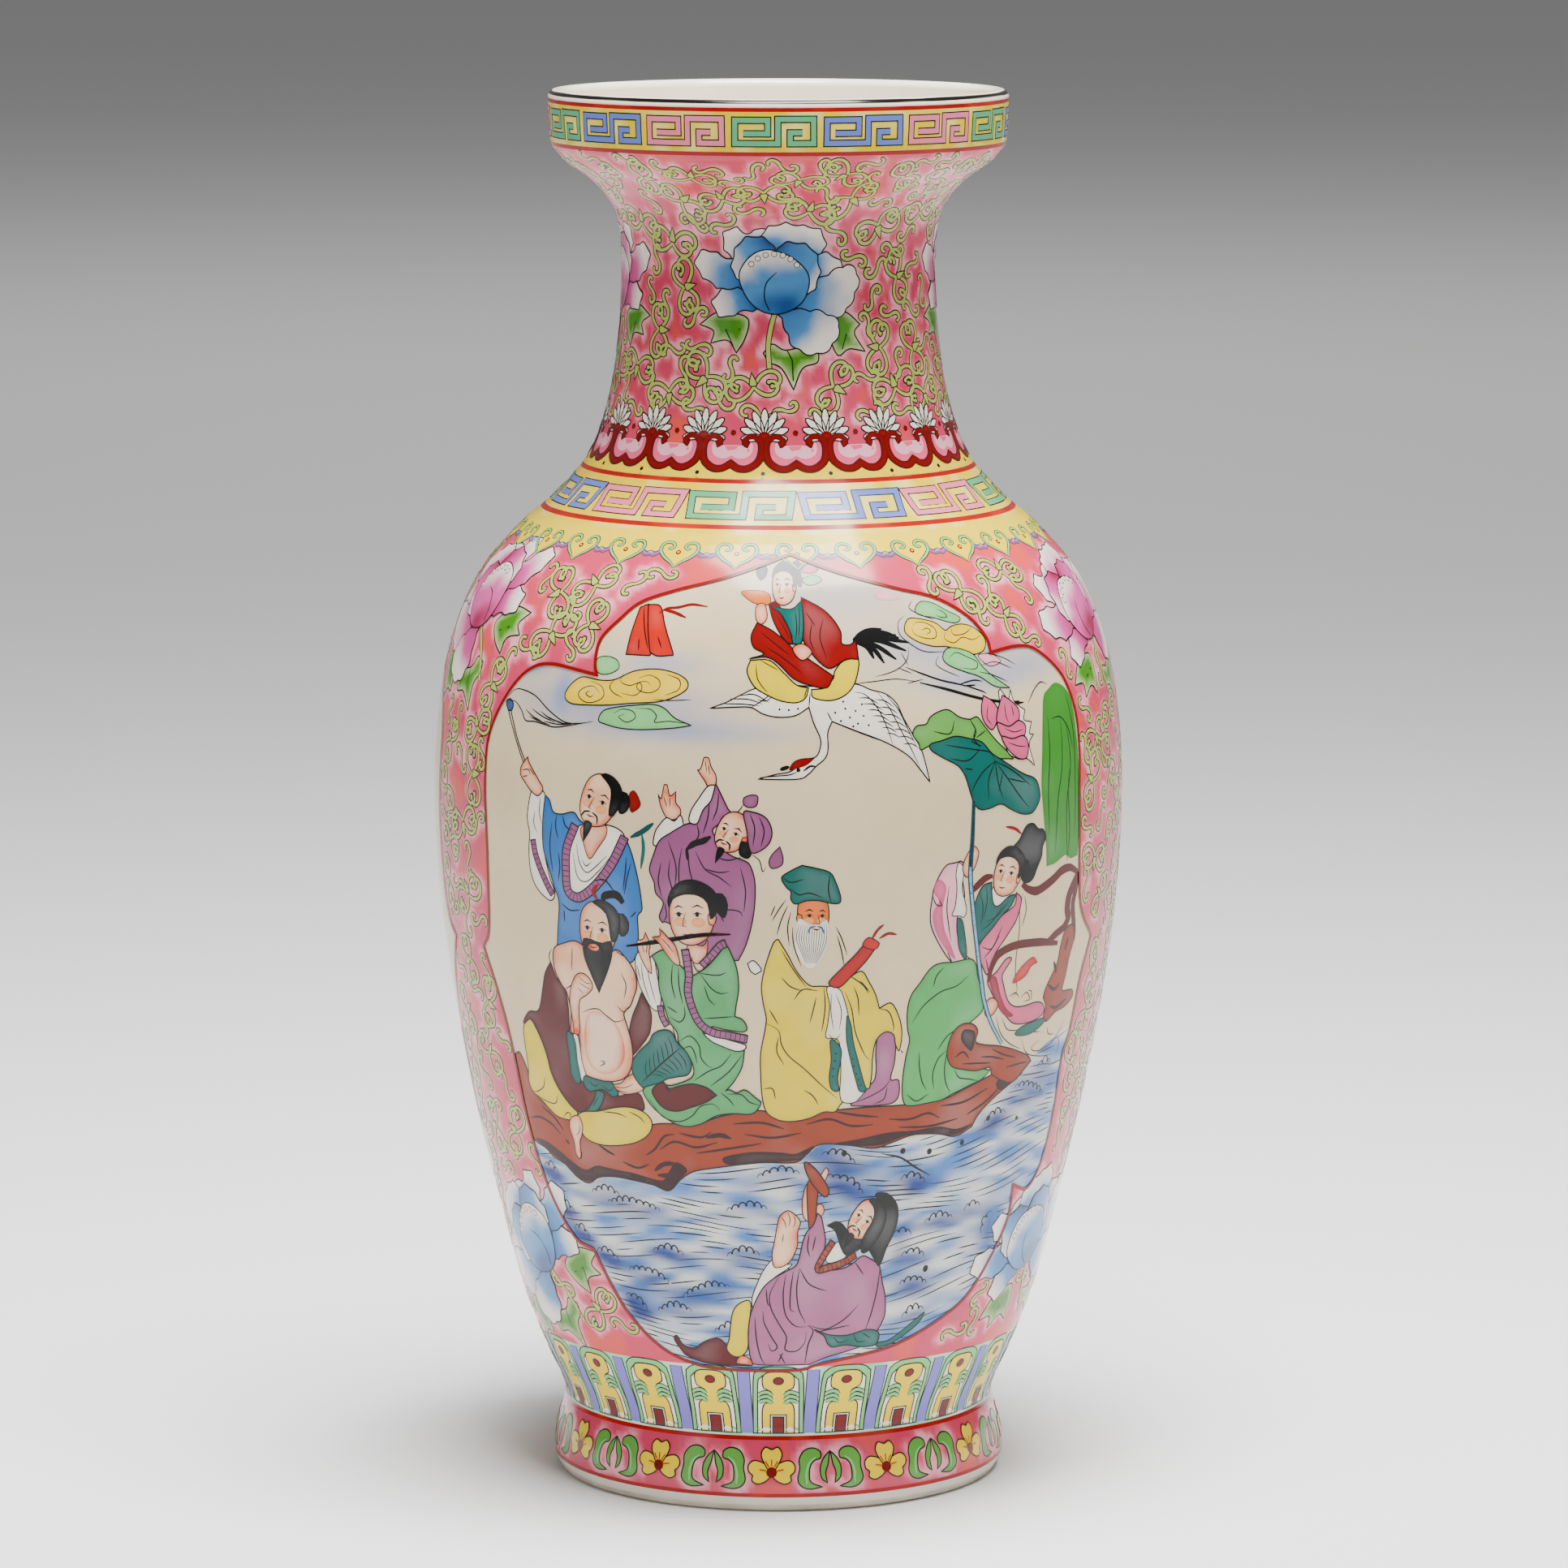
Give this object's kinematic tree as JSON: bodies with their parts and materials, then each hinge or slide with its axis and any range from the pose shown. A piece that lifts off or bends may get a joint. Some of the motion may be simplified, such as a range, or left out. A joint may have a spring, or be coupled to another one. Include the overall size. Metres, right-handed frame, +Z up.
{
  "type": "porcelain vase",
  "caption": "Tall porcelain baluster vase with flared mouth, luted body sections, foot ring, glaze and painted enamel bands and scene panels.",
  "frame": {"origin": "centre of the foot, on the surface that the vase stands on", "axes": "+Z up along the vase's axis, -Y towards the middle of the front scene panel"},
  "size_m": [0.228, 0.228, 0.46],
  "materials": {
    "porcelain": "fired white porcelain body, unglazed and slightly warm, seen only on the foot edge",
    "luting_slip": "fired porcelain slip in the luting joints",
    "clear_glaze": "clear feldspar glaze over white porcelain, smooth and wet-looking with a faint orange-peel",
    "iron_red_enamel": "iron-red enamel line, brushed by hand, semi-gloss",
    "brown_edge_enamel": "thin dark brown edge line on the lip",
    "yellow_enamel": "opaque lemon-yellow enamel with key-fret spirals in green, blue and pink, outlined in dark olive",
    "pink_enamel": "mottled rose-pink enamel ground with pale green scrollwork and peonies",
    "ruyi_enamels": "iron-red cloud heads with pink fills and white fan flowers on yellow",
    "green_enamel": "lappets in green, yellow, blue and red enamels",
    "scene_enamels": "figures, boat, waves and clouds in translucent and opaque enamels on white glaze"
  },
  "bodies": {
    "root": {"mouth_section": "porcelain", "neck_section": "porcelain", "shoulder_section": "porcelain", "belly_section": "porcelain", "lower_body_section": "porcelain", "foot_ring": "porcelain", "base_disc": "porcelain", "mouth_joint_slip": "luting_slip", "neck_joint_slip": "luting_slip", "shoulder_joint_slip": "luting_slip", "belly_joint_slip": "luting_slip", "foot_joint_slip": "luting_slip", "base_joint_slip": "luting_slip", "outside_glaze": "clear_glaze", "inside_glaze": "clear_glaze", "base_glaze": "clear_glaze", "rim_edge_line": "brown_edge_enamel", "rim_red_line": "iron_red_enamel", "mouth_fret_band": "yellow_enamel", "mouth_red_line": "iron_red_enamel", "neck_pink_ground": "pink_enamel", "ruyi_border": "ruyi_enamels", "shoulder_upper_red_line": "iron_red_enamel", "shoulder_fret_band": "yellow_enamel", "shoulder_lower_red_line": "iron_red_enamel", "scallop_collar": "yellow_enamel", "body_pink_ground": "pink_enamel", "front_scene_panel": "scene_enamels", "back_scene_panel": "scene_enamels", "lappet_border": "green_enamel", "foot_upper_red_line": "iron_red_enamel", "foot_flower_band": "pink_enamel", "foot_lower_red_line": "iron_red_enamel"}
  },
  "joints": []
}
